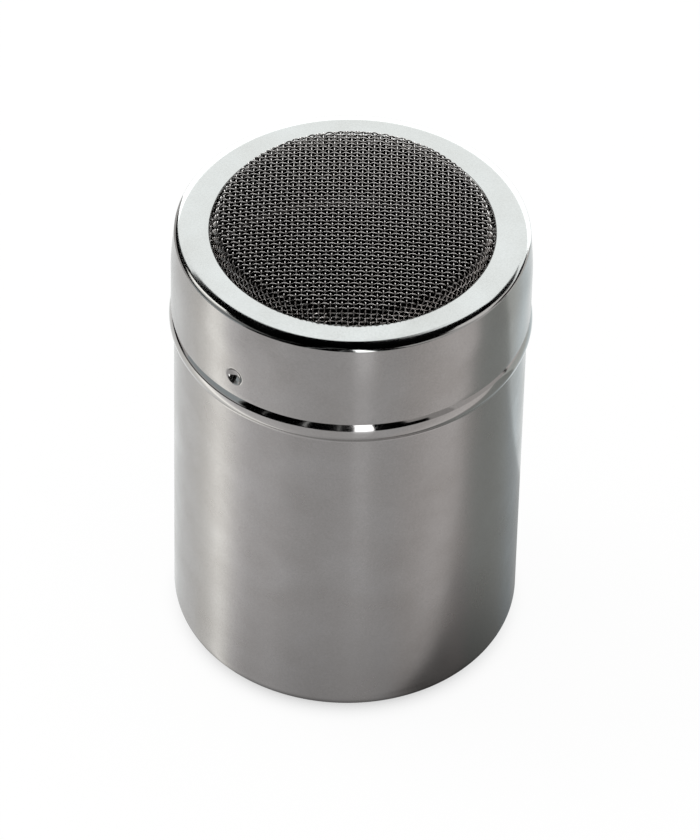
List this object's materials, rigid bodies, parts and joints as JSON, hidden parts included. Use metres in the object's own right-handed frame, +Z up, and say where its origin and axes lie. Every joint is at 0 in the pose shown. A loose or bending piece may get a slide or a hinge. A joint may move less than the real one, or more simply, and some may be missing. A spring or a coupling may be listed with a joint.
{
  "type": "mesh-top spice shaker",
  "caption": "Round steel shaker with a drawn canister, a lift-off lid and a domed woven wire screen for dusting powder.",
  "frame": {"origin": "centre of the face the canister stands on", "axes": "+Z up along the canister's axis, out through the wire screen; -Y towards the side that is seen in front"},
  "size_m": [0.0708, 0.0708, 0.1028],
  "materials": {
    "canister_steel": "satin",
    "lid_steel": "polished",
    "screen_wire": "drawn wire",
    "ring_steel": "plain"
  },
  "bodies": {
    "base": {"canister": "canister_steel"},
    "lid_carrier": {"retaining_ring": "ring_steel"},
    "lid": {"lid_shell": "lid_steel", "screen_warp_wires": "screen_wire", "screen_weft_wires": "screen_wire"}
  },
  "joints": [
    {"name": "lid_lift", "type": "slide", "parent": "base", "child": "lid_carrier", "axis": [0, 0, 1], "range_m": [0, 0.1]},
    {"name": "lid_turn", "type": "hinge", "parent": "lid_carrier", "child": "lid", "pos_m": [0, 0, 0.0885], "axis": [0, 0, 1], "continuous": true}
  ]
}
